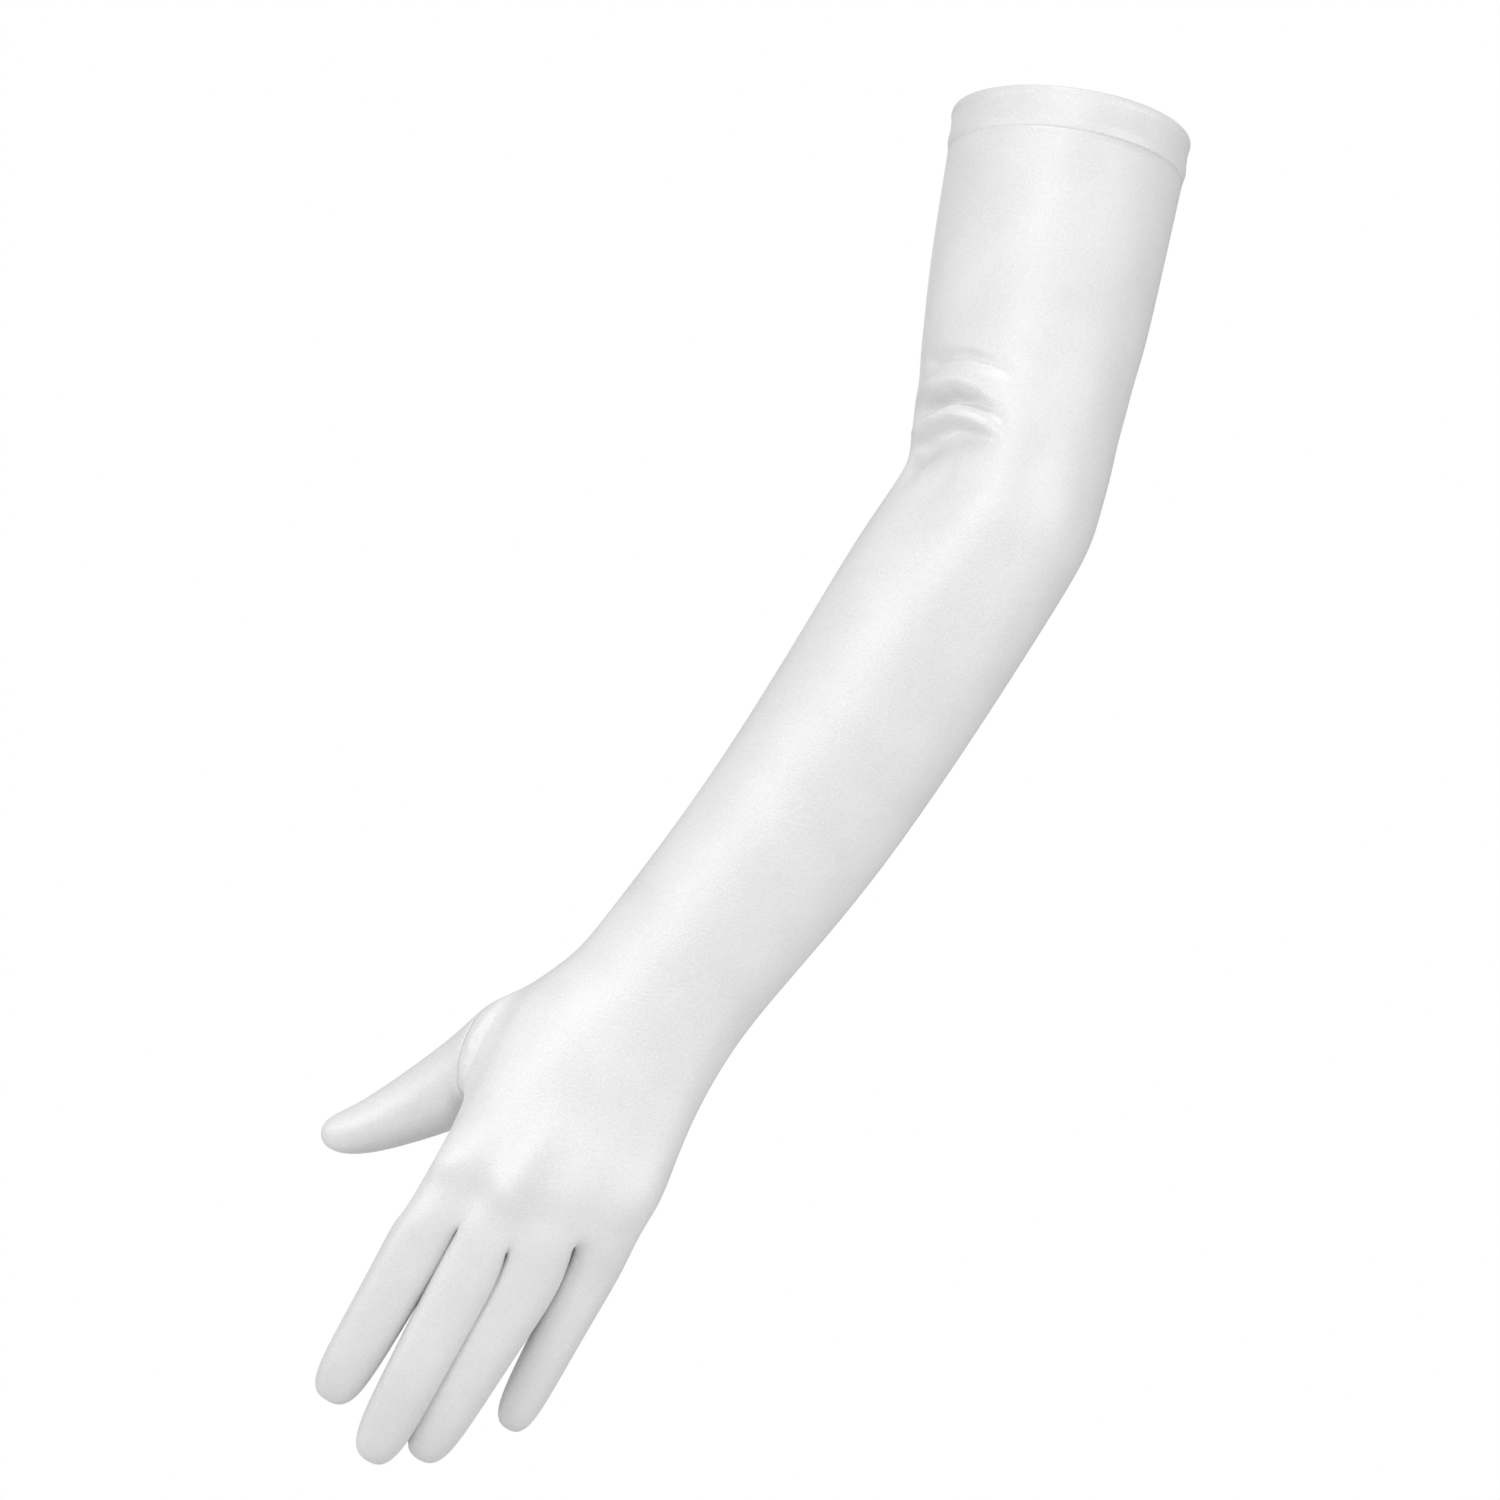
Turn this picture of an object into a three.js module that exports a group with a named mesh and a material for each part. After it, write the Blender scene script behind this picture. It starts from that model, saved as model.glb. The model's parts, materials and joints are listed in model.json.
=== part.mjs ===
// A satin evening glove for the left hand, in the form that a bent arm gives it: an open sleeve from the
// upper arm over the elbow to the wrist, the hand with four finger stalls, a set-in thumb, and a hem turned
// under at the top. Millimetres, +Z up. The back of the hand faces -Y and the thumb points to -X.
// The origin is the centre of the arm opening. The cloth is drawn as a coarse cage of four-sided faces,
// smoothed once, and given its thickness inwards, so every stall and the whole sleeve are hollow.
import * as THREE from 'three';

// Driving dimensions
const CLOTH = 1.2; // thickness of the stretch satin
const SEAM_GAP = 0.6; // clearance between sewn pieces
const HEM_HEIGHT = 13.7;
const HEM_BULGE = 0.9; // how far the folded hem stands proud of the sleeve
const HEM_DEPTH = 1.8; // how far the folded hem reaches in from the sleeve's surface

// Places across the sleeve of its nine columns of points, as shares of the half-width: evenly round the arm,
// and at the edges and middles of the fingers
const ROUND_ANGLES = [162, 144, 126, 108, 90, 72, 54, 36, 18];
const ROUND_COLUMNS = ROUND_ANGLES.map((angle) => Math.cos(THREE.MathUtils.degToRad(angle)));
const FINGER_COLUMNS = [-0.94, -0.74, -0.487, -0.26, -0.01, 0.235, 0.504, 0.75, 0.94];
const WEB_DROP = [0, 0, 0, 3, 8.5, 5, 4, 1, 0]; // how far the last section is let out down each column
const DOWN_THE_HAND = new THREE.Vector3(-0.49, 0, -0.87);
const COLUMNS = ROUND_COLUMNS.length;
const RIM = 2 * COLUMNS + 2; // points round a sleeve section: back of the arm, inside of the arm and two edges

// Sections of the sleeve and hand, from the hem seam down to the webs between the fingers. turn is how far the
// outer edge lies below the inner one, in degrees. square is the exponent of the rounded outline, 2 for an
// ellipse. fan runs from 0, points evenly round the arm, to 1, points at the fingers. back is the dorsal share
// of the depth.
const SECTIONS = [
  { x: -2.1, y: -4.2, z: -12.9, width: 85.2, depth: 82, turn: 8.5, square: 2, fan: 0, back: 0.5 },
  { x: -9.9, y: -15.2, z: -51.9, width: 82.5, depth: 78, turn: 11, square: 2, fan: 0, back: 0.5 },
  { x: -13, y: -22.2, z: -68.9, width: 80.4, depth: 76, turn: 11, square: 2, fan: 0, back: 0.5 },
  { x: -15.4, y: -27.2, z: -80.9, width: 78.2, depth: 75, turn: 11, square: 2, fan: 0, back: 0.5 },
  { x: -17, y: -29.9, z: -87.9, width: 76.7, depth: 74, turn: 12, square: 2, fan: 0, back: 0.5 },
  { x: -18.2, y: -32.5, z: -94.9, width: 75.5, depth: 74, turn: 13, square: 2, fan: 0, back: 0.5 },
  { x: -19.5, y: -35.2, z: -102, width: 73.9, depth: 73, turn: 14, square: 2, fan: 0, back: 0.5 },
  { x: -21.3, y: -37.9, z: -108.9, width: 73.7, depth: 73, turn: 16, square: 2, fan: 0, back: 0.5 },
  { x: -22.7, y: -40.7, z: -117.4, width: 73.1, depth: 73, turn: 18, square: 2, fan: 0, back: 0.5 },
  { x: -25.1, y: -43.8, z: -128.2, width: 71.7, depth: 73, turn: 21, square: 2, fan: 0, back: 0.5 },
  { x: -26.8, y: -46, z: -136.2, width: 71.1, depth: 72, turn: 23.4, square: 2, fan: 0, back: 0.5 },
  { x: -32.4, y: -48.2, z: -146.5, width: 72, depth: 71, turn: 26, square: 2, fan: 0, back: 0.5 },
  { x: -46.4, y: -51.2, z: -167.5, width: 73, depth: 68, turn: 31, square: 2, fan: 0, back: 0.5 },
  { x: -69.8, y: -54.2, z: -205.5, width: 71.2, depth: 63, turn: 33, square: 2, fan: 0, back: 0.5 },
  { x: -98.8, y: -57.2, z: -249.5, width: 68.6, depth: 56, turn: 35, square: 2, fan: 0, back: 0.5 },
  { x: -123.3, y: -59.7, z: -280.4, width: 65.4, depth: 50, turn: 37, square: 2, fan: 0, back: 0.5 },
  { x: -140.7, y: -61.7, z: -301.6, width: 63.8, depth: 47, turn: 38, square: 2.05, fan: 0.1, back: 0.5 },
  { x: -151.7, y: -64.7, z: -316.6, width: 65, depth: 44, turn: 37, square: 2.1, fan: 0.25, back: 0.5 },
  { x: -163.7, y: -69.2, z: -328, width: 74.4, depth: 41, turn: 34, square: 2.2, fan: 0.45, back: 0.48 },
  { x: -171.5, y: -73.2, z: -342.1, width: 75.7, depth: 38.5, turn: 28, square: 2.3, fan: 0.65, back: 0.47 },
  { x: -178.7, y: -77.7, z: -359.1, width: 76.2, depth: 35, turn: 21, square: 2.4, fan: 0.85, back: 0.47 },
  { x: -186.9, y: -82.7, z: -375.8, width: 80.9, depth: 31, turn: 11, square: 2.6, fan: 1, back: 0.5 },
  { x: -196.1, y: -82.7, z: -390.8, width: 83.2, depth: 25, turn: 5, square: 2.8, fan: 1, back: 0.5 },
];

// Folds inside the bend of the elbow, from the top down: arcs in the XZ plane that the cloth follows on its
// front, from one angle to another. A fold is a ridge where its height is positive and a hollow where it is
// negative. above and below are how far it spreads from its arc.
const FOLDS = [
  { x: -38.7, z: -116.4, radius: 24.9, from: 25, to: 150, height: 1, above: 3, below: 3 },
  { x: -43.1, z: -118.4, radius: 18.9, from: 20, to: 150, height: -1.4, above: 3, below: 2.5 },
  { x: -42.6, z: -123.6, radius: 18.8, from: 25, to: 150, height: 1.6, above: 2.5, below: 3 },
  { x: -44.1, z: -126.2, radius: 14, from: 25, to: 175, height: -2, above: 2, below: 9 },
];

// The finger stalls: the first of the columns of the hand that each grows from, the centre of its root and tip,
// its width near them, and how far it arches to the back of the hand (arch) and towards +X (sway)
const FINGERS = [
  {
    name: 'index', column: 0, root: [-226.7, -80.2, -387.3], tip: [-264.6, -57.2, -453.2],
    rootWidth: 20.8, tipWidth: 18, arch: 4, sway: 0.5,
  },
  {
    name: 'middle', column: 2, root: [-207.6, -82.2, -395.3], tip: [-250.4, -55.2, -474.8],
    rootWidth: 21, tipWidth: 17.6, arch: 5, sway: 0,
  },
  {
    name: 'ring', column: 4, root: [-186.4, -81.2, -399.3], tip: [-232.4, -53.2, -474.4],
    rootWidth: 20, tipWidth: 17, arch: 5, sway: -0.5,
  },
  {
    name: 'little', column: 6, root: [-165.1, -77.2, -396.3], tip: [-201.2, -52.2, -463.9],
    rootWidth: 18, tipWidth: 14.6, arch: 4, sway: -0.5,
  },
];
const STALL_SQUARE = 2.3;
const STALL_TURN = 30; // the line across a stall falls this many degrees towards the little finger

// Shape of a stall along its length: place from root to tip, and shares of its full width and depth there
const STALL_PROFILE = [
  { at: 0.1, width: 1, depth: 1 },
  { at: 0.35, width: 1, depth: 0.98 },
  { at: 0.6, width: 1, depth: 0.95 },
  { at: 0.82, width: 0.98, depth: 0.88 },
  { at: 0.94, width: 0.85, depth: 0.75 },
  { at: 0.99, width: 0.5, depth: 0.44 },
];
const STALL_CAP = 1.012;
const STALL_DEPTH = 0.97; // depth of a stall as a share of its width

// The thumb, from its seam on the palm side of the hand out to the tip. width lies along the hand.
const THUMB = [
  { x: -207.6, y: -59.7, z: -328.8, width: 36.2, depth: 25.5, turn: 112 },
  { x: -216.6, y: -52.7, z: -339.7, width: 32.2, depth: 24.5, turn: 86 },
  { x: -226, y: -47.2, z: -346.4, width: 27.3, depth: 23, turn: 67 },
  { x: -239.7, y: -42.7, z: -353.3, width: 22.6, depth: 20.5, turn: 66 },
  { x: -254, y: -40.7, z: -359.5, width: 17.8, depth: 17, turn: 74 },
  { x: -265.4, y: -40.2, z: -361.2, width: 13, depth: 11.5, turn: 80 },
];
const THUMB_SQUARE = 2.1;
const THUMB_CAP = { x: -271.2, y: -40.2, z: -361.9 };
const THUMB_ROW = 18; // the first of the three hand sections that the thumb grows from
const THUMB_RIM = [RIM - 2, RIM - 1, 0]; // three points round each of them, from the palm to the inner edge

const vector = (p) => new THREE.Vector3(p.x, p.y, p.z);
const smoothing = (points) => 1 / Math.cos(Math.PI / points); // a ring shrinks by this much when it is smoothed

// Axes of a section: across, falling by turn towards +X, and out to the back of the hand
function axes(turn, along) {
  const a = THREE.MathUtils.degToRad(turn);
  const across = new THREE.Vector3(Math.cos(a), 0, -Math.sin(a));
  const back = along.clone().cross(across).normalize();
  return { across, back };
}

// The way along a row of places at its i-th one
function wayAlong(places, i) {
  const before = places[Math.max(i - 1, 0)];
  const after = places[Math.min(i + 1, places.length - 1)];
  return after.clone().sub(before).normalize();
}

// A sleeve section's points: inner edge, back of the arm, outer edge, and the other side of the arm
function sleeveRing(row, along) {
  const { across, back } = axes(row.turn, along);
  const scale = smoothing(RIM);
  const place = (share, side) => {
    const bow = (1 - Math.abs(share) ** row.square) ** (1 / row.square);
    const depth = row.depth * (side > 0 ? row.back : 1 - row.back);
    return vector(row)
      .addScaledVector(across, (share * row.width * scale) / 2)
      .addScaledVector(back, side * bow * depth * scale);
  };
  const shares = ROUND_COLUMNS.map((s, i) => s + row.fan * (FINGER_COLUMNS[i] - s));
  const backPoints = shares.map((s) => place(s, 1));
  const frontPoints = [...shares].reverse().map((s) => place(s, -1));
  return [place(-1, 0), ...backPoints, place(1, 0), ...frontPoints];
}

// The eight points round a stall, in the order in which the webs hand them over
function stallRing(centre, across, back, width, depth, square) {
  const corner = 2 ** (-1 / square);
  const scale = smoothing(8);
  const shares = [
    [-corner, corner], [0, 1], [corner, corner], [1, 0],
    [corner, -corner], [0, -1], [-corner, -corner], [-1, 0],
  ];
  return shares.map(([u, v]) => centre.clone()
    .addScaledVector(across, (u * width * scale) / 2)
    .addScaledVector(back, (v * depth * scale) / 2));
}

// The cage: points and four-sided faces, each face marked with the piece of cloth that it belongs to
class Cage {
  constructor() {
    this.points = [];
    this.faces = [];
  }

  add(points) {
    const first = this.points.length;
    this.points.push(...points);
    return points.map((_, i) => first + i);
  }

  // A tube's wall between two rings that have the same number of points
  wall(ringA, ringB, piece, skip = () => false) {
    ringA.forEach((a, i) => {
      const j = (i + 1) % ringA.length;
      if (!skip(i)) this.faces.push({ loop: [a, ringB[i], ringB[j], ringA[j]], piece });
    });
  }

  // Closes the end of an eight-point ring with four faces round a middle point
  cap(ring, middle, piece) {
    const [m] = this.add([middle]);
    for (let i = 1; i < 8; i += 2) {
      this.faces.push({ loop: [ring[i], m, ring[(i + 2) % 8], ring[(i + 1) % 8]], piece });
    }
  }

  // One round of Catmull-Clark smoothing
  smoothed() {
    const next = new Cage();
    const edges = new Map();
    const touching = this.points.map(() => ({ faces: [], rim: [], mids: [] }));
    const facePoints = this.faces.map(({ loop }, f) => {
      loop.forEach((a, i) => {
        const b = loop[(i + 1) % loop.length];
        const key = Math.min(a, b) + '_' + Math.max(a, b);
        if (!edges.has(key)) edges.set(key, { ends: [a, b], faces: [] });
        edges.get(key).faces.push(f);
        touching[a].faces.push(f);
      });
      return average(loop.map((a) => this.points[a]));
    });
    for (const edge of edges.values()) {
      const ends = edge.ends.map((a) => this.points[a]);
      const middle = average(ends);
      const inside = edge.faces.length === 2;
      edge.point = inside ? average([...ends, ...edge.faces.map((f) => facePoints[f])]) : middle;
      edge.ends.forEach((a) => touching[a][inside ? 'mids' : 'rim'].push(middle));
    }
    const moved = this.points.map((p, a) => {
      const { faces, rim, mids } = touching[a];
      if (rim.length) return p.clone().multiplyScalar(2).add(rim[0]).add(rim[1]).divideScalar(4);
      const n = faces.length;
      return average(faces.map((f) => facePoints[f]))
        .addScaledVector(average(mids), 2)
        .addScaledVector(p, n - 3)
        .divideScalar(n);
    });
    const pointIds = next.add(moved);
    const faceIds = next.add(facePoints);
    const all = [...edges.values()];
    next.add(all.map((e) => e.point)).forEach((id, i) => { all[i].id = id; });
    const edgeId = (a, b) => edges.get(Math.min(a, b) + '_' + Math.max(a, b)).id;
    this.faces.forEach(({ loop, piece }, f) => loop.forEach((a, i) => {
      const b = loop[(i + 1) % 4];
      const z = loop[(i + 3) % 4];
      next.faces.push({ loop: [pointIds[a], edgeId(a, b), faceIds[f], edgeId(z, a)], piece });
    }));
    return next;
  }

  normals() {
    const sums = this.points.map(() => new THREE.Vector3());
    for (const { loop } of this.faces) {
      const [a, b, c, d] = loop.map((i) => this.points[i]);
      const n = c.clone().sub(a).cross(d.clone().sub(b));
      loop.forEach((i) => sums[i].add(n));
    }
    return sums.map((n) => n.normalize());
  }
}

function average(points) {
  return points.reduce((sum, p) => sum.add(p), new THREE.Vector3()).divideScalar(points.length);
}

// The sleeve and hand down to the webs, with the faces that the thumb grows from left open
function sleeve(cage) {
  const centres = SECTIONS.map(vector);
  const rings = SECTIONS.map((row, i) => cage.add(sleeveRing(row, wayAlong(centres, i))));
  const thumbRows = [THUMB_ROW, THUMB_ROW + 1];
  rings.slice(0, -1).forEach((ring, i) => {
    const open = (k) => thumbRows.includes(i) && (k === THUMB_RIM[0] || k === THUMB_RIM[1]);
    cage.wall(ring, rings[i + 1], 'glove_body', open);
  });
  return rings;
}

// The four finger stalls, which grow from the last section and share the points of the webs between them
function fingers(cage, rings) {
  const last = rings[rings.length - 1];
  const backOf = (c) => last[1 + c];
  const frontOf = (c) => last[RIM - 1 - c];
  for (let c = 0; c < COLUMNS; c += 1) {
    [backOf(c), frontOf(c)].forEach((p) => cage.points[p].addScaledVector(DOWN_THE_HAND, WEB_DROP[c]));
  }
  const inner = cage.add([2, 4, 6].map((c) => average([cage.points[backOf(c)], cage.points[frontOf(c)]])));
  const edgeOf = { 0: last[0], 2: inner[0], 4: inner[1], 6: inner[2], 8: last[COLUMNS + 1] };
  for (const finger of FINGERS) {
    const c = finger.column;
    const root = [backOf(c), backOf(c + 1), backOf(c + 2), edgeOf[c + 2],
      frontOf(c + 2), frontOf(c + 1), frontOf(c), edgeOf[c]];
    const line = (at) => new THREE.Vector3(...finger.root)
      .lerp(new THREE.Vector3(...finger.tip), at)
      .add(new THREE.Vector3(finger.sway, 0, 0).multiplyScalar(4 * at * (1 - at)))
      .add(new THREE.Vector3(0, -finger.arch, 0).multiplyScalar(4 * at * (1 - at)));
    let before = root;
    for (const step of STALL_PROFILE) {
      const along = line(step.at + 0.02).sub(line(step.at - 0.02)).normalize();
      const { across, back } = axes(STALL_TURN, along);
      const width = THREE.MathUtils.lerp(finger.rootWidth, finger.tipWidth, step.at);
      const ring = cage.add(stallRing(line(step.at), across, back,
        width * step.width, width * STALL_DEPTH * step.depth, STALL_SQUARE));
      cage.wall(before, ring, 'glove_body');
      before = ring;
    }
    cage.cap(before, line(STALL_CAP), 'glove_body');
  }
}

// The thumb, whose first ring is the seam where the set-in piece is sewn to the hand
function thumb(cage, rings) {
  const [a, b, c] = [0, 1, 2].map((i) => rings[THUMB_ROW + i]);
  const [palm, side, edge] = THUMB_RIM;
  const root = [a[edge], b[edge], c[edge], c[side], c[palm], b[palm], a[palm], a[side]];
  const centres = THUMB.map(vector);
  let before = root;
  THUMB.forEach((row, i) => {
    const { across, back } = axes(row.turn, wayAlong(centres, i));
    const ring = cage.add(stallRing(centres[i], across, back, row.width, row.depth, THUMB_SQUARE));
    cage.wall(before, ring, i === 0 ? 'glove_body' : 'thumb');
    before = ring;
  });
  cage.cap(before, vector(THUMB_CAP), 'thumb');
}

// How far a point of the cloth is raised or sunk by the folds, on the side that faces -Y
function foldHeight(point, normal) {
  const facing = THREE.MathUtils.smoothstep(-normal.y, 0.05, 0.5);
  return FOLDS.reduce((sum, fold) => {
    const dx = point.x - fold.x;
    const dz = point.z - fold.z;
    const angle = THREE.MathUtils.radToDeg(Math.atan2(dz, dx));
    const inside = Math.min(angle - fold.from, fold.to - angle);
    const fade = THREE.MathUtils.smoothstep(inside, 0, 35);
    const away = Math.hypot(dx, dz) - fold.radius;
    const off = away / (away > 0 ? fold.above : fold.below);
    return sum + fold.height * Math.exp(-off * off) * fade * facing;
  }, 0);
}

// Solid geometry from quads and a list of points
function geometry(points, quads) {
  const shape = new THREE.BufferGeometry();
  shape.setAttribute('position', new THREE.Float32BufferAttribute(points.flatMap((p) => [p.x, p.y, p.z]), 3));
  shape.setIndex(quads.flatMap(([a, b, c, d]) => [a, b, c, a, c, d]));
  shape.computeVertexNormals();
  return shape;
}

// One piece of cloth cut from the smoothed cage, trimmed back from its seam and thickened inwards
function clothGeometry(cage, normals, piece) {
  const faces = cage.faces.filter((f) => f.piece === piece);
  const ids = [...new Set(faces.flatMap((f) => f.loop))];
  const order = new Map(ids.map((id, i) => [id, i]));
  const rim = rimEdges(faces);
  const seam = sharedWithOthers(cage, piece);
  const outer = ids.map((id) => {
    const p = cage.points[id];
    const placed = p.clone().addScaledVector(normals[id], foldHeight(p, normals[id]));
    if (!seam.has(id)) return placed;
    const around = faces.filter((f) => f.loop.includes(id)).flatMap((f) => f.loop).filter((i) => !seam.has(i));
    const inward = average(around.map((i) => cage.points[i])).sub(p);
    inward.addScaledVector(normals[id], -inward.dot(normals[id])).normalize();
    return placed.addScaledVector(inward, SEAM_GAP / 2);
  });
  const inner = ids.map((id, i) => outer[i].clone().addScaledVector(normals[id], -CLOTH));
  const quads = [];
  for (const { loop } of faces) {
    const near = loop.map((id) => order.get(id));
    quads.push(near, near.map((i) => i + ids.length).reverse());
  }
  for (const [a, b] of rim) {
    const [p, q] = [order.get(a), order.get(b)];
    const strip = [q, p, p + ids.length, q + ids.length];
    quads.push(a < b ? strip : [...strip.slice(1), strip[0]]); // so both sides of a seam are split the same way
  }
  return geometry([...outer, ...inner], quads);
}

// Edges that only one of the faces uses, each in that face's direction
function rimEdges(faces) {
  const uses = new Map();
  for (const { loop } of faces) {
    loop.forEach((a, i) => {
      const b = loop[(i + 1) % loop.length];
      const key = Math.min(a, b) + '_' + Math.max(a, b);
      uses.set(key, uses.has(key) ? null : [a, b]);
    });
  }
  return [...uses.values()].filter(Boolean);
}

// The points where one piece meets another
function sharedWithOthers(cage, piece) {
  const own = new Set(cage.faces.filter((f) => f.piece === piece).flatMap((f) => f.loop));
  const others = cage.faces.filter((f) => f.piece !== piece).flatMap((f) => f.loop);
  return new Set(others.filter((id) => own.has(id)));
}

// Section of the folded hem: out from the sleeve's surface, and up as a share of the hem's height
const HEM_SECTION = [
  { out: 0, up: 0 },
  { out: 0.75 * HEM_BULGE, up: 0.18 },
  { out: HEM_BULGE, up: 0.55 },
  { out: 0.6 * HEM_BULGE, up: 0.92 },
  { out: -0.06 * HEM_DEPTH, up: 1 },
  { out: -0.6 * HEM_DEPTH, up: 0.94 },
  { out: -HEM_DEPTH, up: 0.5 },
  { out: -0.88 * HEM_DEPTH, up: 0 },
];

// The hem: a folded band that stands on the top edge of the sleeve and leads up to the origin
function hemGeometry(topEdge) {
  const centre = average(topEdge);
  const up = centre.clone().negate().normalize();
  const points = topEdge.flatMap((place) => {
    const out = place.clone().sub(centre).normalize();
    return HEM_SECTION.map((corner) => place.clone()
      .addScaledVector(out, corner.out)
      .addScaledVector(up, SEAM_GAP + corner.up * (HEM_HEIGHT - SEAM_GAP)));
  });
  const n = HEM_SECTION.length;
  const quads = topEdge.flatMap((_, i) => HEM_SECTION.map((__, j) => {
    const next = ((i + 1) % topEdge.length) * n;
    const above = (j + 1) % n;
    return [i * n + j, i * n + above, next + above, next + j];
  }));
  return geometry(points, quads);
}

const cage = new Cage();
const rings = sleeve(cage);
thumb(cage, rings);
fingers(cage, rings);
const cloth = cage.smoothed();
const clothNormals = cloth.normals();

// The points of the smoothed cage on the sleeve's top edge, in order round the arm
function topEdgePoints() {
  const centre = vector(SECTIONS[0]);
  const reach = SECTIONS[0].width;
  const next = new Map(rimEdges(cloth.faces));
  const start = [...next.keys()].find((id) => cloth.points[id].distanceTo(centre) < reach);
  const edge = [start];
  while (next.get(edge[edge.length - 1]) !== start) edge.push(next.get(edge[edge.length - 1]));
  return edge.map((id) => cloth.points[id].clone());
}

const satin = (name) => new THREE.MeshStandardMaterial({ name, color: 0xf1f1f0, roughness: 0.42 });

const glove = new THREE.Group();

const body = new THREE.Mesh(clothGeometry(cloth, clothNormals, 'glove_body'), satin('body_satin'));
body.name = 'glove_body';
glove.add(body);

const thumbPiece = new THREE.Mesh(clothGeometry(cloth, clothNormals, 'thumb'), satin('thumb_satin'));
thumbPiece.name = 'thumb';
glove.add(thumbPiece);

const hem = new THREE.Mesh(hemGeometry(topEdgePoints()), satin('hem_satin'));
hem.name = 'cuff_hem';
glove.add(hem);

export default glove;
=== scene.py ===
# The looks of a long satin evening glove for the left hand, in the form that a bent arm gives it.
# Lengths in the tables are millimetres, as in the part's own source. Meshes are metres, +Z up, and the back
# of the hand faces -Y. The cloth starts as a flat grid at the arm opening. It is extruded section by section
# down the arm and out along each stall, subdivided, cut at the thumb seam, folded, and given its thickness.
import json
import math
from collections import namedtuple

import bmesh
import bpy
import numpy as np
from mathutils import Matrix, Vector

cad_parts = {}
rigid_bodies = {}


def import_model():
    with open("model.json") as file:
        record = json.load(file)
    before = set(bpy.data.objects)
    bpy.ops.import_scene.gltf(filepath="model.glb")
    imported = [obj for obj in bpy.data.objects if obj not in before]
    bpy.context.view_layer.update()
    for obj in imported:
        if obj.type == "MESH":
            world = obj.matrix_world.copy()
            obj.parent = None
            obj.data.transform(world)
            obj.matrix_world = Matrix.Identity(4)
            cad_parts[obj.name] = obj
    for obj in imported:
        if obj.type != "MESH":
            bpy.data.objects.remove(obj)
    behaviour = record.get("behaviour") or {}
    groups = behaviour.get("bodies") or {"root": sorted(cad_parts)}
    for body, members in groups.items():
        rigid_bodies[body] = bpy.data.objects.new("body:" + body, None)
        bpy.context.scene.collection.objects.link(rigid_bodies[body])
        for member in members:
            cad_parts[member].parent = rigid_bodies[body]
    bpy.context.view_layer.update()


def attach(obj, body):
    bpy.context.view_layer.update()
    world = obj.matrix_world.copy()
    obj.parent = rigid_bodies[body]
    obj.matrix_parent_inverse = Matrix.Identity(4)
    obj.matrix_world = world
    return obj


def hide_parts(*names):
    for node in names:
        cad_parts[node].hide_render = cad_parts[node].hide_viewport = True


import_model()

MM = 0.001
CLOTH = 1.0  # thickness of the satin
SUBDIVISIONS = 3
GRID_SIZE = 80  # the starting grid, before its points are taken to the arm opening

# Sections of the sleeve and hand, from the hem seam down to the webs between the fingers. turn is how far
# the outer edge lies below the inner one, in degrees. square is the exponent of the rounded outline, 2 for
# an ellipse. fan runs from 0, points evenly round the arm, to 1, points at the fingers. back is the share of
# the depth that lies to the back of the hand.
Section = namedtuple("Section", "x y z width depth turn square fan back")
SECTIONS = [
    Section(-2.1, -4.2, -12.9, 85.2, 82, 8.5, 2, 0, 0.5),
    Section(-9.9, -15.2, -51.9, 82.5, 78, 11, 2, 0, 0.5),
    Section(-13, -22.2, -68.9, 80.4, 76, 11, 2, 0, 0.5),
    Section(-15.4, -27.2, -80.9, 78.2, 75, 11, 2, 0, 0.5),
    Section(-17, -29.9, -87.9, 76.7, 74, 12, 2, 0, 0.5),
    Section(-18.2, -32.5, -94.9, 75.5, 74, 13, 2, 0, 0.5),
    Section(-19.5, -35.2, -102, 73.9, 73, 14, 2, 0, 0.5),
    Section(-21.3, -37.9, -108.9, 73.7, 73, 16, 2, 0, 0.5),
    Section(-22.7, -40.7, -117.4, 73.1, 73, 18, 2, 0, 0.5),
    Section(-25.1, -43.8, -128.2, 71.7, 73, 21, 2, 0, 0.5),
    Section(-26.8, -46, -136.2, 71.1, 72, 23.4, 2, 0, 0.5),
    Section(-32.4, -48.2, -146.5, 72, 71, 26, 2, 0, 0.5),
    Section(-46.4, -51.2, -167.5, 73, 68, 31, 2, 0, 0.5),
    Section(-69.8, -54.2, -205.5, 71.2, 63, 33, 2, 0, 0.5),
    Section(-98.8, -57.2, -249.5, 68.6, 56, 35, 2, 0, 0.5),
    Section(-123.3, -59.7, -280.4, 65.4, 50, 37, 2, 0, 0.5),
    Section(-140.7, -61.7, -301.6, 63.8, 47, 38, 2.05, 0.1, 0.5),
    Section(-151.7, -64.7, -316.6, 65, 44, 37, 2.1, 0.25, 0.5),
    Section(-163.7, -69.2, -328, 74.4, 41, 34, 2.2, 0.45, 0.48),
    Section(-171.5, -73.2, -342.1, 75.7, 38.5, 28, 2.3, 0.65, 0.47),
    Section(-178.7, -77.7, -359.1, 76.2, 35, 21, 2.4, 0.85, 0.47),
    Section(-186.9, -82.7, -375.8, 80.9, 31, 11, 2.6, 1, 0.5),
    Section(-196.1, -82.7, -390.8, 83.2, 25, 5, 2.8, 1, 0.5),
]

# Where the nine points of a row lie across a section, from -1 at its inner edge to 1 at its outer one
ROUND_COLUMNS = [math.cos(math.radians(angle)) for angle in range(162, 0, -18)]
FINGER_COLUMNS = [-0.94, -0.74, -0.487, -0.26, -0.01, 0.235, 0.504, 0.75, 0.94]
COLUMNS = len(ROUND_COLUMNS)

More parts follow.
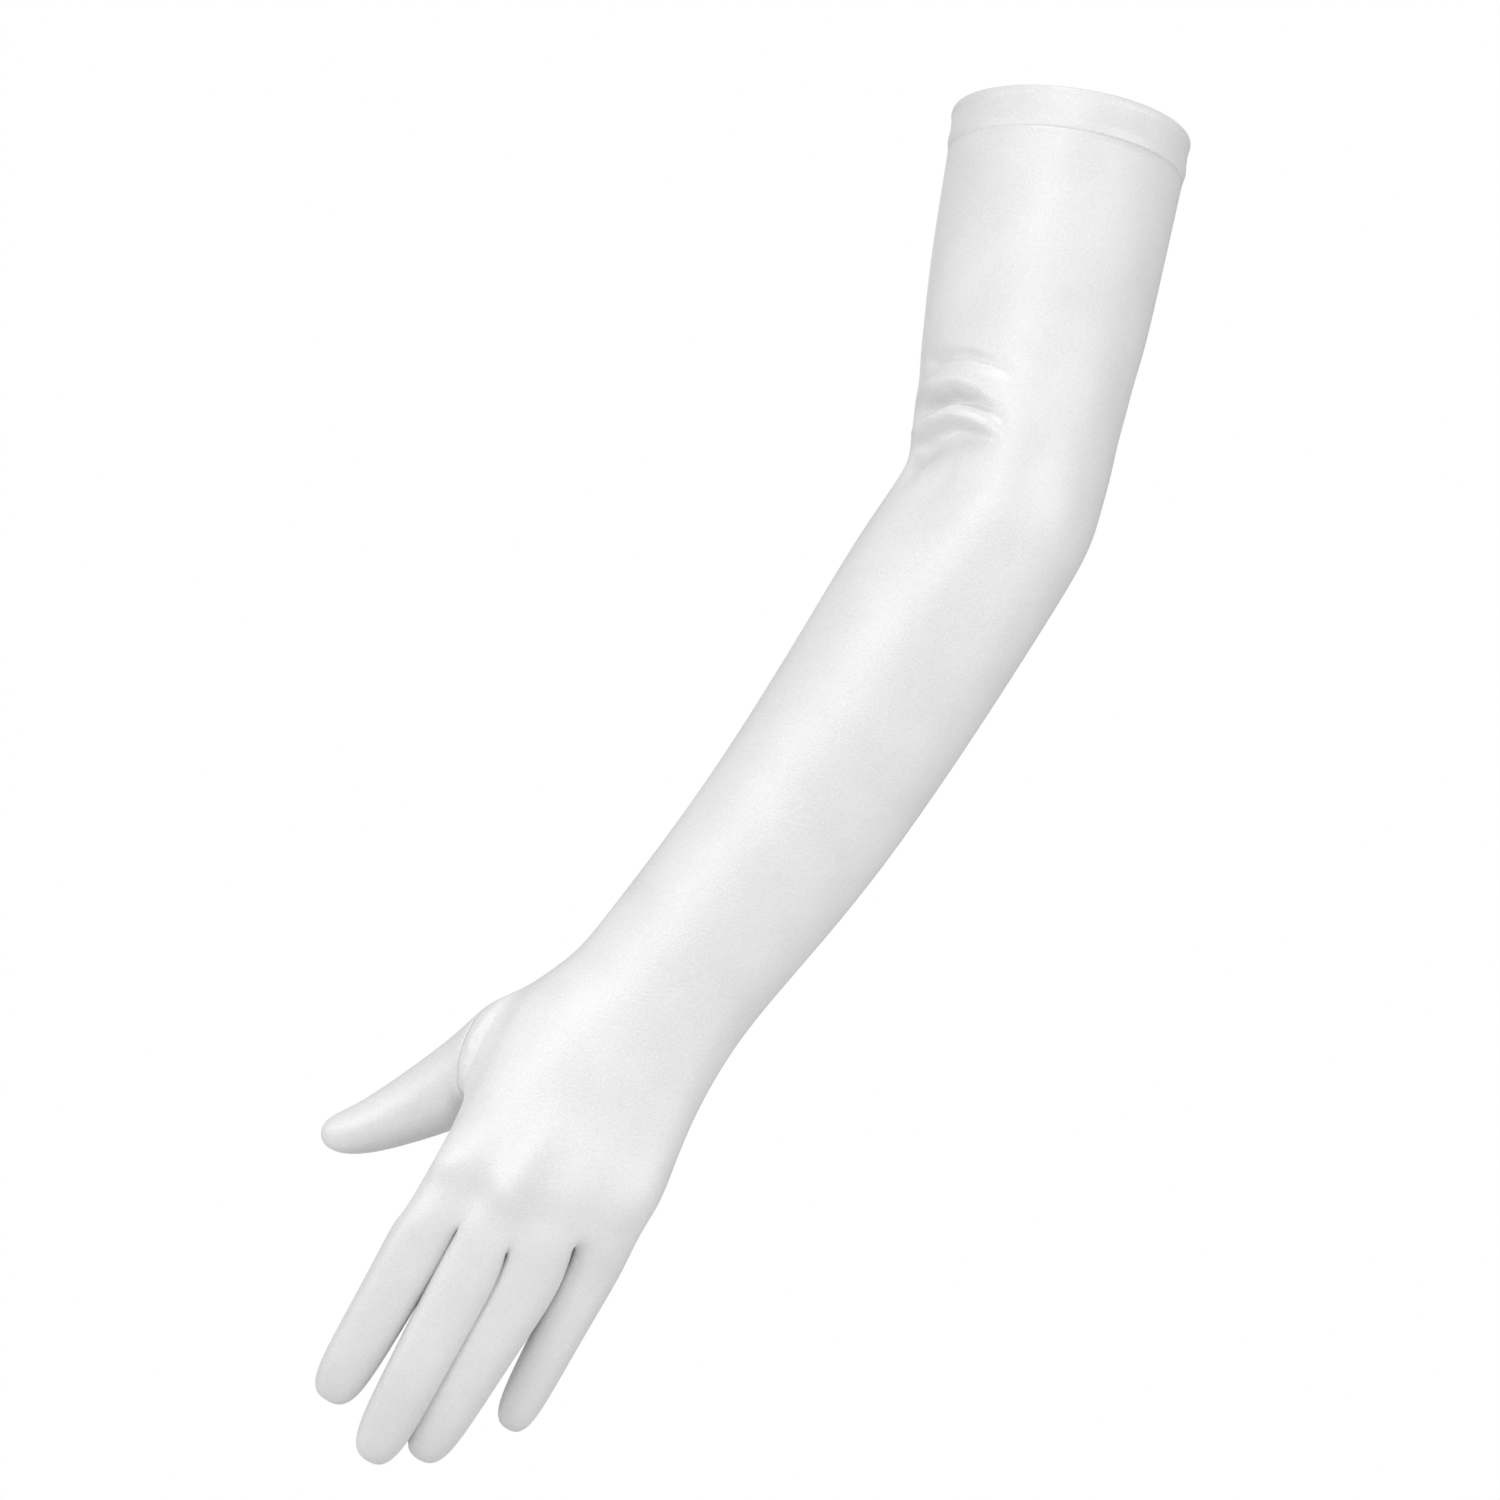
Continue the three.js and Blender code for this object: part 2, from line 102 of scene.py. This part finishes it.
WEB_DROP = [0, 0, 0, 3, 8.5, 5, 4, 1, 0]  # how far the last section is let out at each column
HAND_WAY = (-0.49, -0.87)  # down the hand, in x and z

# The finger stalls: the column of the hand that each grows from, the centre of its root and tip, its width
# near the root and near the tip, and how far it arches to the back of the hand and sways towards +X half way
Stall = namedtuple("Stall", "name column root tip root_width tip_width arch sway")
STALLS = [
    Stall("index", 0, (-226.7, -80.2, -387.3), (-264.6, -57.2, -453.2), 20.8, 18, 4, 0.5),
    Stall("middle", 2, (-207.6, -82.2, -395.3), (-250.4, -55.2, -474.8), 21.5, 18.1, 5, 0),
    Stall("ring", 4, (-186.4, -81.2, -399.3), (-232.4, -53.2, -474.4), 21.3, 17.5, 5, -0.5),
    Stall("little", 6, (-165.1, -77.2, -396.3), (-201.2, -52.2, -463.9), 18, 14.6, 4, -0.5),
]
STALL_SQUARE = 4.3
STALL_TURN = 30
STALL_DEPTH = 0.97  # as a share of the stall's width
STALL_CAP = 1.012  # where the last point lies, as a share of the way from root to tip
LOOK_AROUND = 0.02  # how far up and down a stall its way is measured, as a share of its length
RIM_POINTS = 8  # round a stall's section, followed by one point in its middle

# Sections down a stall: how far down each lies, and its width and depth as shares of the stall's own
StallStep = namedtuple("StallStep", "at width depth")
STALL_PROFILE = [
    StallStep(0.1, 1.03, 1),
    StallStep(0.35, 1, 0.98),
    StallStep(0.6, 1, 0.95),
    StallStep(0.82, 0.98, 0.88),
    StallStep(0.94, 0.85, 0.75),
    StallStep(0.99, 0.5, 0.44),
]

# The thumb, from its seam out to the tip. width lies along the hand.
ThumbSection = namedtuple("ThumbSection", "x y z width depth turn")
THUMB = [
    ThumbSection(-207.6, -59.7, -328.8, 36.2, 25.5, 112),
    ThumbSection(-216.6, -52.7, -339.7, 32.2, 24.5, 86),
    ThumbSection(-226, -47.2, -346.4, 27.3, 23, 67),
    ThumbSection(-239.7, -42.7, -353.3, 22.6, 20.5, 66),
    ThumbSection(-254, -40.7, -359.5, 17.8, 17, 74),
    ThumbSection(-265.4, -40.2, -361.2, 13, 11.5, 80),
]
THUMB_SQUARE = 2.1
THUMB_CAP = (-271.2, -40.2, -361.9)
THUMB_ROW = 18  # the first of the three sections that the thumb grows from
BODY_SLOT = 0
THUMB_SLOT = 1

# Folds of the cloth, as seen from the front: the places in x and z that each runs through, how high it
# stands there, how far it spreads above and below its path, and how long its two ends take to fade out. A
# crease has a height below zero.
Fold = namedtuple("Fold", "path height above below fade_in fade_out")
ELBOW_FOLDS = [
    Fold(
        [(-54.4, -88.4), (-47, -85.6), (-39.3, -85.2), (-31.2, -88), (-24.2, -91.6), (-17.1, -96.5)],
        height=-2.4, above=3, below=2.4, fade_in=5, fade_out=22,
    ),
    Fold(
        [(-61.1, -100.4), (-56.5, -98.6), (-49.5, -94), (-42.5, -92.6), (-34.7, -93.7), (-26.6, -97.2),
         (-17.1, -103.2)],
        height=1.4, above=3.4, below=2.4, fade_in=2, fade_out=38,
    ),
    Fold(
        [(-64.6, -109.4), (-58.7, -106.8), (-52, -101.8), (-45.3, -99.5), (-38.9, -100.9), (-31.9, -104.6),
         (-23.4, -111.6)],
        height=-7.6, above=2.8, below=2, fade_in=2, fade_out=26,
    ),
    Fold(
        [(-68.2, -119.6), (-60.1, -115.6), (-53, -109.4), (-45.3, -106.4), (-38.2, -107.8), (-31.9, -110.6),
         (-24.2, -115.8)],
        height=3.6, above=2.6, below=2.4, fade_in=3, fade_out=22,
    ),
    Fold(
        [(-73.4, -124), (-62, -122), (-56, -116), (-50.6, -112.2), (-45.3, -110.3), (-39.6, -111.7),
         (-33, -115), (-24.9, -120.4)],
        height=-4.6, above=2, below=9, fade_in=22, fade_out=26,
    ),
]

# The seam groove and the strip beside it at the root of the thumb
HAND_FOLDS = [
    Fold(
        [(-197.5, -309), (-206.7, -319.3), (-210.7, -326.1), (-212.9, -331.5), (-216.5, -340)],
        height=-1, above=1.3, below=1.3, fade_in=3, fade_out=3,
    ),
    Fold(
        [(-203.5, -313.5), (-209.6, -320.3), (-213.4, -326.4), (-215, -331.8)],
        height=0.9, above=1.7, below=1.7, fade_in=3, fade_out=3,
    ),
]

# Knuckles on the back of the hand, the hollows between them, and soft dents at the wrist and below the bend
# of the elbow: the crest of each, how high it stands, and how far it spreads to either side, up and down
Bump = namedtuple("Bump", "x z height side up down")
BUMPS = [
    Bump(-220.5, -368, 2.9, 9, 18, 6.5),
    Bump(-199.5, -379.5, 3.1, 7.5, 18, 6),
    Bump(-179, -382, 1.1, 9, 16, 7.5),
    Bump(-160.5, -386, 1.5, 6, 12, 6),
    Bump(-212, -378.5, -2.3, 7, 6, 11),
    Bump(-189, -386.5, -1.8, 6, 6, 10),
    Bump(-171, -389, -1, 6, 6, 9),
    Bump(-165.5, -401, 1, 5, 7, 9),
    Bump(-193, -320, -1.5, 8, 9, 14),
    Bump(-52, -127, -3, 14, 10, 34),
]

# How far a place has to face the front, or the back for the elbow's far side, before a fold starts to show
# on it and until it shows in full. The far side gets a share of the elbow's folds.
ELBOW_FACING = (0.02, 0.45)
ELBOW_FAR_FACING = (0.02, 0.8)
ELBOW_FAR_SHARE = 0.25
BUMP_FACING = (0.2, 0.7)
HAND_FOLD_FACING = (0, 0.4)
HAND_FOLD_BACKMOST = -45  # the y behind which the hand has no creases

# The folded hem's section: out from the sleeve's surface, and up the arm as a share of the hem's height
HEM_HEIGHT = 13.7
HEM_SECTION = [
    (-0.6, -0.11), (-0.2, -0.16), (0.04, -0.12), (0.22, -0.06), (0.42, 0.01), (0.6, 0.08), (0.58, 0.16),
    (0.42, 0.25), (0.32, 0.38), (0.32, 0.52), (0.35, 0.65), (0.42, 0.74), (0.72, 0.81), (0.86, 0.89),
    (0.62, 0.96), (0, 1), (-0.8, 0.99), (-1.4, 0.9), (-1.65, 0.7), (-1.75, 0.45), (-1.75, 0.2), (-1.4, 0.02),
]
BETWEEN_OPENINGS = -60  # a z below the arm's open edge and above the thumb hole

# The soft lamps, in metres and watts, all turned to one place. The arm and the hand have a near one each.
Lamp = namedtuple("Lamp", "name place size power")
LAMPS = [
    Lamp("front_light", (-0.5, -2.6, 1.3), 1.1, 25),
    Lamp("arm_light", (0.7, -0.75, 0.02), 0.3, 2.1),
    Lamp("hand_light", (-0.86, -0.8, 0.02), 0.25, 2.5),
    Lamp("left_light", (-2.9, -0.9, 0.3), 1, 10.5),
    Lamp("right_light", (2.4, -1, -0.5), 1, 12),
    Lamp("upper_light", (-0.1, -0.31, 2.74), 1, 25),
]
LAMP_TARGET = (-0.1, -0.05, -0.2)


def points_shrink(count):
    """How much a ring of that many cage points shrinks when it is subdivided to its limit."""
    return (2 + math.cos(2 * math.pi / count)) / 3


def section_axes(turn, along):
    """Unit vectors across a section and out to the back of the hand, square to the way along."""
    turn = math.radians(turn)
    across = Vector((math.cos(turn), 0, -math.sin(turn)))
    return across, along.cross(across).normalized()


def way_along(places, index):
    """The way from the place before this one to the place after it."""
    return (places[min(index + 1, len(places) - 1)] - places[max(index - 1, 0)]).normalized()


def hand_section_points(section, along):
    """A section's 27 points in rows of nine: the back of the arm, its middle and its other side."""
    across, back = section_axes(section.turn, along)
    scale = 1 / points_shrink(2 * COLUMNS + 2)
    centre = Vector((section.x, section.y, section.z))

    def place(share, side):
        bow = (1 - abs(share) ** section.square) ** (1 / section.square)
        depth = section.depth * (section.back if side > 0 else 1 - section.back)
        return centre + across * (share * section.width / 2 * scale) + back * (side * bow * depth * scale)

    shares = [round_share + section.fan * (finger_share - round_share)
              for round_share, finger_share in zip(ROUND_COLUMNS, FINGER_COLUMNS)]
    backs = [place(share, 1) for share in shares]
    fronts = [place(share, -1) for share in shares]
    middles = [(outer + inner) / 2 for outer, inner in zip(backs, fronts)]
    middles[0] = place(-1, 0)
    middles[-1] = place(1, 0)
    return [backs, middles, fronts]


def stall_section_points(centre, across, back, width, depth, square):
    """The points round a stall and the one in its middle, in the order of square_of."""
    corner = 2 ** (-1 / square)
    scale = 1 / points_shrink(RIM_POINTS)
    shares = [
        (-corner, corner), (0, 1), (corner, corner), (1, 0), (corner, -corner), (0, -1), (-corner, -corner),
        (-1, 0), (0, 0),
    ]
    return [centre + across * (sideways * width / 2 * scale) + back * (outward * depth / 2 * scale)
            for sideways, outward in shares]


def square_of(rows, column):
    """The points of two by two faces: their rim, clockwise from the back's inner corner, and the middle."""
    backs, middles, fronts = rows
    centre = column + 1
    outer = column + 2
    return [backs[column], backs[centre], backs[outer], middles[outer], fronts[outer], fronts[centre],
            fronts[column], middles[column], middles[centre]]


def nearest_of(places, corner):
    """Which of the places a cage point lies at."""
    return min(range(len(places)), key=lambda index: (corner.co - places[index] * MM).length_squared)


def select_faces_on(glove, places, reach=0.01):
    """Selects the faces whose corners all lie at the given places."""
    bpy.ops.mesh.select_all(action="DESELECT")
    cage = bmesh.from_edit_mesh(glove.data)
    for face in cage.faces:
        gaps = [(corner.co - places[nearest_of(places, corner)] * MM).length for corner in face.verts]
        if max(gaps) < reach * MM:
            face.select_set(True)
    bmesh.update_edit_mesh(glove.data)


def extrude_to(glove, old_places, new_places):
    """Extrudes the selected faces and takes each of their corners to its new place."""
    bpy.ops.mesh.extrude_region_move()
    cage = bmesh.from_edit_mesh(glove.data)
    for corner in cage.verts:
        if corner.select:
            corner.co = new_places[nearest_of(old_places, corner)] * MM
    bmesh.update_edit_mesh(glove.data)


def move_corner(glove, old_place, new_place):
    """Takes the cage point at the old place to the new one."""
    cage = bmesh.from_edit_mesh(glove.data)
    nearest = min(cage.verts, key=lambda corner: (corner.co - old_place * MM).length_squared)
    nearest.co = new_place * MM
    bmesh.update_edit_mesh(glove.data)


def flat(rows):
    """The places of all rows in one list."""
    return [place for row in rows for place in row]


def draw_sleeve(glove):
    """Takes the starting grid to the arm opening and extrudes it to the webs. Gives the sections' points."""
    centres = [Vector((section.x, section.y, section.z)) for section in SECTIONS]
    sections = [hand_section_points(section, way_along(centres, index))
                for index, section in enumerate(SECTIONS)]
    down_the_hand = Vector((HAND_WAY[0], 0, HAND_WAY[1]))
    backs, middles, fronts = sections[-1]
    for column, drop in enumerate(WEB_DROP):
        backs[column] += down_the_hand * drop
        fronts[column] += down_the_hand * drop
        if 0 < column < COLUMNS - 1:
            middles[column] = (backs[column] + fronts[column]) / 2
    cage = bmesh.from_edit_mesh(glove.data)
    start = sorted(cage.verts, key=lambda corner: (-round(corner.co.y, 4), corner.co.x))
    for corner, place in zip(start, flat(sections[0])):
        corner.co = place * MM
    bmesh.update_edit_mesh(glove.data)
    bpy.ops.mesh.select_all(action="SELECT")
    for above, below in zip(sections, sections[1:]):
        extrude_to(glove, flat(above), flat(below))
    return sections


def stall_centre(stall, at):
    """The middle of a stall at a share of the way from its root to its tip."""
    middle = Vector(stall.root).lerp(Vector(stall.tip), at)
    return middle + Vector((stall.sway, -stall.arch, 0)) * (4 * at * (1 - at))


def draw_stall(glove, stall, root):
    """Extrudes one finger stall from its square of faces at the webs."""
    select_faces_on(glove, root)
    before = root
    for step in STALL_PROFILE:
        above = stall_centre(stall, step.at - LOOK_AROUND)
        below = stall_centre(stall, step.at + LOOK_AROUND)
        across, back = section_axes(STALL_TURN, (below - above).normalized())
        width = stall.root_width + (stall.tip_width - stall.root_width) * step.at
        depth = width * STALL_DEPTH * step.depth
        places = stall_section_points(stall_centre(stall, step.at), across, back, width * step.width, depth,
                                      STALL_SQUARE)
        extrude_to(glove, before, places)
        before = places
    move_corner(glove, before[RIM_POINTS], stall_centre(stall, STALL_CAP))


def draw_thumb(glove, sections):
    """Extrudes the thumb from the palm side of the hand's inner edge and marks what lies beyond its seam."""
    top, middle, bottom = sections[THUMB_ROW:THUMB_ROW + 3]

    def edge(rows):
        return rows[1][0]

    def side(rows):
        return rows[2][0]

    def palm(rows):
        return rows[2][1]

    before = [
        edge(top), edge(middle), edge(bottom), side(bottom), palm(bottom), palm(middle), palm(top),
        side(top), side(middle),
    ]
    select_faces_on(glove, before)
    centres = [Vector((section.x, section.y, section.z)) for section in THUMB]
    for index, section in enumerate(THUMB):
        across, back = section_axes(section.turn, way_along(centres, index))
        places = stall_section_points(centres[index], across, back, section.width, section.depth,
                                      THUMB_SQUARE)
        extrude_to(glove, before, places)
        before = places
    move_corner(glove, before[RIM_POINTS], Vector(THUMB_CAP))
    select_faces_on(glove, before[:RIM_POINTS] + [Vector(THUMB_CAP)])
    for _ in THUMB[1:]:
        bpy.ops.mesh.select_more()
    glove.active_material_index = THUMB_SLOT
    bpy.ops.object.material_slot_assign()


def activate(piece):
    """Selects the piece alone, for the operators that follow."""
    bpy.ops.object.select_all(action="DESELECT")
    piece.select_set(True)
    bpy.context.view_layer.objects.active = piece


def subdivide(piece, levels):
    activate(piece)
    smoothing = piece.modifiers.new("subdivision", "SUBSURF")
    smoothing.levels = levels
    smoothing.render_levels = levels
    bpy.ops.object.modifier_apply(modifier=smoothing.name)


def thicken(piece):
    """Gives the piece its wall, inward from its surface."""
    activate(piece)
    wall = piece.modifiers.new("thickness", "SOLIDIFY")
    wall.thickness = CLOTH * MM
    wall.offset = -1
    bpy.ops.object.modifier_apply(modifier=wall.name)
    bpy.ops.object.shade_smooth()


def draw_cloth(body_satin, thumb_satin):
    """The whole glove's cloth as one thin, smooth shell, cut into the body and the thumb."""
    bpy.ops.object.select_all(action="DESELECT")
    bpy.ops.mesh.primitive_grid_add(x_subdivisions=COLUMNS - 1, y_subdivisions=2, size=GRID_SIZE * MM)
    glove = bpy.context.active_object
    glove.name = "glove_body_satin"
    glove.data.materials.append(body_satin)
    glove.data.materials.append(thumb_satin)
    bpy.ops.object.mode_set(mode="EDIT")
    sections = draw_sleeve(glove)
    for stall in STALLS:
        draw_stall(glove, stall, square_of(sections[-1], stall.column))
    draw_thumb(glove, sections)
    select_faces_on(glove, flat(sections[0]))
    bpy.ops.mesh.delete(type="FACE")
    bpy.ops.mesh.select_all(action="SELECT")
    bpy.ops.mesh.normals_make_consistent(inside=False)
    bpy.ops.object.mode_set(mode="OBJECT")
    subdivide(glove, SUBDIVISIONS)
    bpy.ops.object.mode_set(mode="EDIT")
    bpy.ops.mesh.select_all(action="DESELECT")
    glove.active_material_index = THUMB_SLOT
    bpy.ops.object.material_slot_select()
    bpy.ops.mesh.separate(type="SELECTED")
    bpy.ops.object.mode_set(mode="OBJECT")
    thumb = next(piece for piece in bpy.context.selected_objects if piece is not glove)
    thumb.name = "thumb_satin"
    for piece, unused in ((glove, THUMB_SLOT), (thumb, BODY_SLOT)):
        piece.data.materials.pop(index=unused)
        piece.data.polygons.foreach_set("material_index", [0] * len(piece.data.polygons))
    return glove, thumb


def places_of(piece):
    """The piece's points, in millimetres, and their outward normals."""
    count = len(piece.data.vertices)
    places = np.empty(count * 3)
    normals = np.empty(count * 3)
    piece.data.vertices.foreach_get("co", places)
    piece.data.vertices.foreach_get("normal", normals)
    return places.reshape(-1, 3) / MM, normals.reshape(-1, 3)


def put_places(piece, places):
    """Takes the piece's points to the places, in millimetres."""
    piece.data.vertices.foreach_set("co", (places * MM).ravel())
    piece.data.update()


def smooth_step(value, low, high):
    """Runs softly from 0 where the value is low to 1 where it is high."""
    share = np.clip((value - low) / (high - low), 0, 1)
    return share * share * (3 - 2 * share)


def near_path(places, path):
    """How far each place lies from a path in x and z, above zero on its upper side, and from its ends."""
    seen_places = places[:, [0, 2]]
    nearest = np.full(len(places), np.inf)
    from_start = np.zeros(len(places))
    length = 0
    for start, end in zip(path, path[1:]):
        way = np.subtract(end, start)
        reach = np.hypot(*way)
        gap = seen_places - start
        share = np.clip(gap @ way / reach**2, 0, 1)
        off = np.hypot(*(gap - share[:, None] * way).T)
        upper = np.sign(way[0] * gap[:, 1] - way[1] * gap[:, 0])
        closer = off < np.abs(nearest)
        nearest = np.where(closer, off * upper, nearest)
        from_start = np.where(closer, length + share * reach, from_start)
        length += reach
    return nearest, from_start, length - from_start


def folds_height(folds, places):
    """How far the folds raise each place, before they fade towards the arm's edges."""
    height = np.zeros(len(places))
    for fold in folds:
        off, from_start, to_end = near_path(places, fold.path)
        off = np.where(off > 0, off / fold.above, off / fold.below)
        ends = smooth_step(from_start, 0, fold.fade_in) * smooth_step(to_end, 0, fold.fade_out)
        height += fold.height * np.exp(-off * off) * ends
    return height


def elbow_fold_height(places, normals):
    """The folds inside the bend, weaker on the far side of the arm."""
    front = smooth_step(-normals[:, 1], *ELBOW_FACING)
    far_side = smooth_step(normals[:, 1], *ELBOW_FAR_FACING)
    return folds_height(ELBOW_FOLDS, places) * (front + ELBOW_FAR_SHARE * far_side)


def bump_height(places, normals):
    """How far the knuckles, the hollows between them and the dents raise the front."""
    facing = smooth_step(-normals[:, 1], *BUMP_FACING)
    height = np.zeros(len(places))
    for bump in BUMPS:
        rightward = places[:, 0] - bump.x
        upward = places[:, 2] - bump.z
        along = rightward * HAND_WAY[0] + upward * HAND_WAY[1]
        aside = (upward * HAND_WAY[0] - rightward * HAND_WAY[1]) / bump.side
        along = np.where(along > 0, along / bump.down, along / bump.up)
        height += bump.height * np.exp(-along * along - aside * aside)
    return height * facing


def hand_fold_height(places, normals):
    """The seam groove and its strip at the thumb's root, on the back of the hand alone."""
    facing = smooth_step(-normals[:, 1], *HAND_FOLD_FACING) * (places[:, 1] < HAND_FOLD_BACKMOST)
    return folds_height(HAND_FOLDS, places) * facing


def raise_by(piece, height_of):
    """Moves each point out along its normal, or in where the height is below zero."""
    places, normals = places_of(piece)
    put_places(piece, places + normals * height_of(places, normals)[:, None])


def open_loop(piece):
    """The points of the piece's open edge at the arm opening, in order round it."""
    shape = bmesh.new()
    shape.from_mesh(piece.data)
    rim = [edge for edge in shape.edges if edge.is_boundary and edge.verts[0].co.z > BETWEEN_OPENINGS * MM]
    first = rim[0].verts[0]
    loop = [first]
    edge = rim[0]
    while True:
        corner = edge.other_vert(loop[-1])
        if corner is first:
            break
        loop.append(corner)
        edge = next(link for link in corner.link_edges if link.is_boundary and link is not edge)
    places = [corner.co / MM for corner in loop]
    shape.free()
    return places


def draw_hem(rim, satin):
    """The turned hem: a ring that follows the sleeve's open edge and stands up to the part's origin."""
    bpy.ops.object.select_all(action="DESELECT")
    bpy.ops.mesh.primitive_torus_add(major_segments=len(rim), minor_segments=len(HEM_SECTION))
    hem = bpy.context.active_object
    hem.name = "cuff_hem_satin"
    centre = sum(rim, Vector()) / len(rim)
    axis = (-centre).normalized()
    places = []
    for place in rim:
        out = (place - centre).normalized()
        places += [place + out * reach + axis * (up * HEM_HEIGHT) for reach, up in HEM_SECTION]
    put_places(hem, np.array([tuple(place) for place in places]))
    hem.data.materials.append(satin)
    bpy.ops.object.mode_set(mode="EDIT")
    bpy.ops.mesh.select_all(action="SELECT")
    bpy.ops.mesh.normals_make_consistent(inside=False)
    bpy.ops.object.mode_set(mode="OBJECT")
    subdivide(hem, 1)
    bpy.ops.object.shade_smooth()
    return hem


def satin_material(name):
    """White stretch satin: a soft sheen over a fine weave, with faint unevenness in tone and gloss."""
    material = bpy.data.materials.new(name)
    material.use_nodes = True
    nodes = material.node_tree.nodes
    links = material.node_tree.links
    shader = nodes["Principled BSDF"]
    shader.inputs["Sheen Weight"].default_value = 0.35
    shader.inputs["Sheen Roughness"].default_value = 0.35
    shader.inputs["Specular IOR Level"].default_value = 1.0
    shader.inputs["IOR"].default_value = 1.6
    coordinates = nodes.new("ShaderNodeTexCoord")
    cloud = nodes.new("ShaderNodeTexNoise")
    cloud.inputs["Scale"].default_value = 38
    cloud.inputs["Detail"].default_value = 4
    tone = nodes.new("ShaderNodeValToRGB")
    tone.color_ramp.elements[0].position = 0.38
    tone.color_ramp.elements[0].color = (0.685, 0.685, 0.682, 1)
    tone.color_ramp.elements[1].position = 0.62
    tone.color_ramp.elements[1].color = (0.77, 0.77, 0.767, 1)
    gloss = nodes.new("ShaderNodeMapRange")
    gloss.inputs["To Min"].default_value = 0.43
    gloss.inputs["To Max"].default_value = 0.49
    weave = nodes.new("ShaderNodeTexNoise")
    weave.inputs["Scale"].default_value = 1500
    weave.inputs["Detail"].default_value = 2
    grain = nodes.new("ShaderNodeMix")
    grain.inputs["Factor"].default_value = 0.6
    bump = nodes.new("ShaderNodeBump")
    bump.inputs["Strength"].default_value = 0.4
    bump.inputs["Distance"].default_value = 0.0004
    links.new(coordinates.outputs["Object"], cloud.inputs["Vector"])
    links.new(coordinates.outputs["Object"], weave.inputs["Vector"])
    links.new(cloud.outputs["Fac"], grain.inputs["A"])
    links.new(weave.outputs["Fac"], grain.inputs["B"])
    links.new(grain.outputs["Result"], tone.inputs["Fac"])
    links.new(cloud.outputs["Fac"], gloss.inputs["Value"])
    links.new(tone.outputs["Color"], shader.inputs["Base Color"])
    links.new(gloss.outputs["Result"], shader.inputs["Roughness"])
    links.new(weave.outputs["Fac"], bump.inputs["Height"])
    links.new(bump.outputs["Normal"], shader.inputs["Normal"])
    return material


def add_floor():
    """A pale round floor below the glove."""
    bpy.ops.object.select_all(action="DESELECT")
    bpy.ops.mesh.primitive_circle_add(
        vertices=96, radius=1.1, fill_type="NGON", location=(-0.115, -0.05, -0.62)
    )
    floor = bpy.context.active_object
    floor.name = "studio_floor"
    paint = bpy.data.materials.new("studio_floor")
    paint.use_nodes = True
    shader = paint.node_tree.nodes["Principled BSDF"]
    shader.inputs["Base Color"].default_value = (0.75, 0.75, 0.75, 1)
    shader.inputs["Roughness"].default_value = 0.8
    floor.data.materials.append(paint)


def add_lamp(lamp):
    light = bpy.data.lights.new(lamp.name, "AREA")
    light.size = lamp.size
    light.energy = lamp.power
    stand = bpy.data.objects.new(lamp.name, light)
    stand.location = lamp.place
    stand.rotation_euler = (Vector(LAMP_TARGET) - Vector(lamp.place)).to_track_quat("-Z", "Y").to_euler()
    bpy.context.collection.objects.link(stand)


def add_studio():
    """A white room to the camera, dimmer as a light, and the soft lamps."""
    world = bpy.data.worlds.new("white_studio")
    bpy.context.scene.world = world
    world.use_nodes = True
    nodes = world.node_tree.nodes
    links = world.node_tree.links
    nodes.clear()
    room = nodes.new("ShaderNodeBackground")
    room.inputs["Color"].default_value = (1, 1, 1, 1)
    room.inputs["Strength"].default_value = 0.4
    seen = nodes.new("ShaderNodeBackground")
    seen.inputs["Color"].default_value = (1, 1, 1, 1)
    rays = nodes.new("ShaderNodeLightPath")
    mix = nodes.new("ShaderNodeMixShader")
    out = nodes.new("ShaderNodeOutputWorld")
    links.new(rays.outputs["Is Camera Ray"], mix.inputs["Fac"])
    links.new(room.outputs["Background"], mix.inputs[1])
    links.new(seen.outputs["Background"], mix.inputs[2])
    links.new(mix.outputs["Shader"], out.inputs["Surface"])
    for lamp in LAMPS:
        add_lamp(lamp)


def add_camera():
    """The photograph's view: level, square on, from three metres."""
    camera = bpy.data.cameras.new("camera")
    camera.lens = 200
    camera.sensor_width = 36
    camera_object = bpy.data.objects.new("camera", camera)
    camera_object.location = (-0.1157, -2.9992, -0.2243)
    camera_object.rotation_euler = (math.radians(90), 0, 0)
    bpy.context.collection.objects.link(camera_object)
    bpy.context.scene.camera = camera_object


add_camera()
body_satin = satin_material("body_satin")
thumb_satin = satin_material("thumb_satin")
hem_satin = satin_material("hem_satin")

glove, thumb = draw_cloth(body_satin, thumb_satin)
hem = draw_hem(open_loop(glove), hem_satin)
raise_by(glove, elbow_fold_height)
raise_by(glove, bump_height)
raise_by(glove, hand_fold_height)
thicken(glove)
thicken(thumb)

for piece, node, slot in (
    (glove, "glove_body", "body_satin"),
    (thumb, "thumb", "thumb_satin"),
    (hem, "cuff_hem", "hem_satin"),
):
    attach(piece, "root")
    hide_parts(node)

add_floor()
add_studio()
bpy.context.scene.view_settings.view_transform = "Standard"
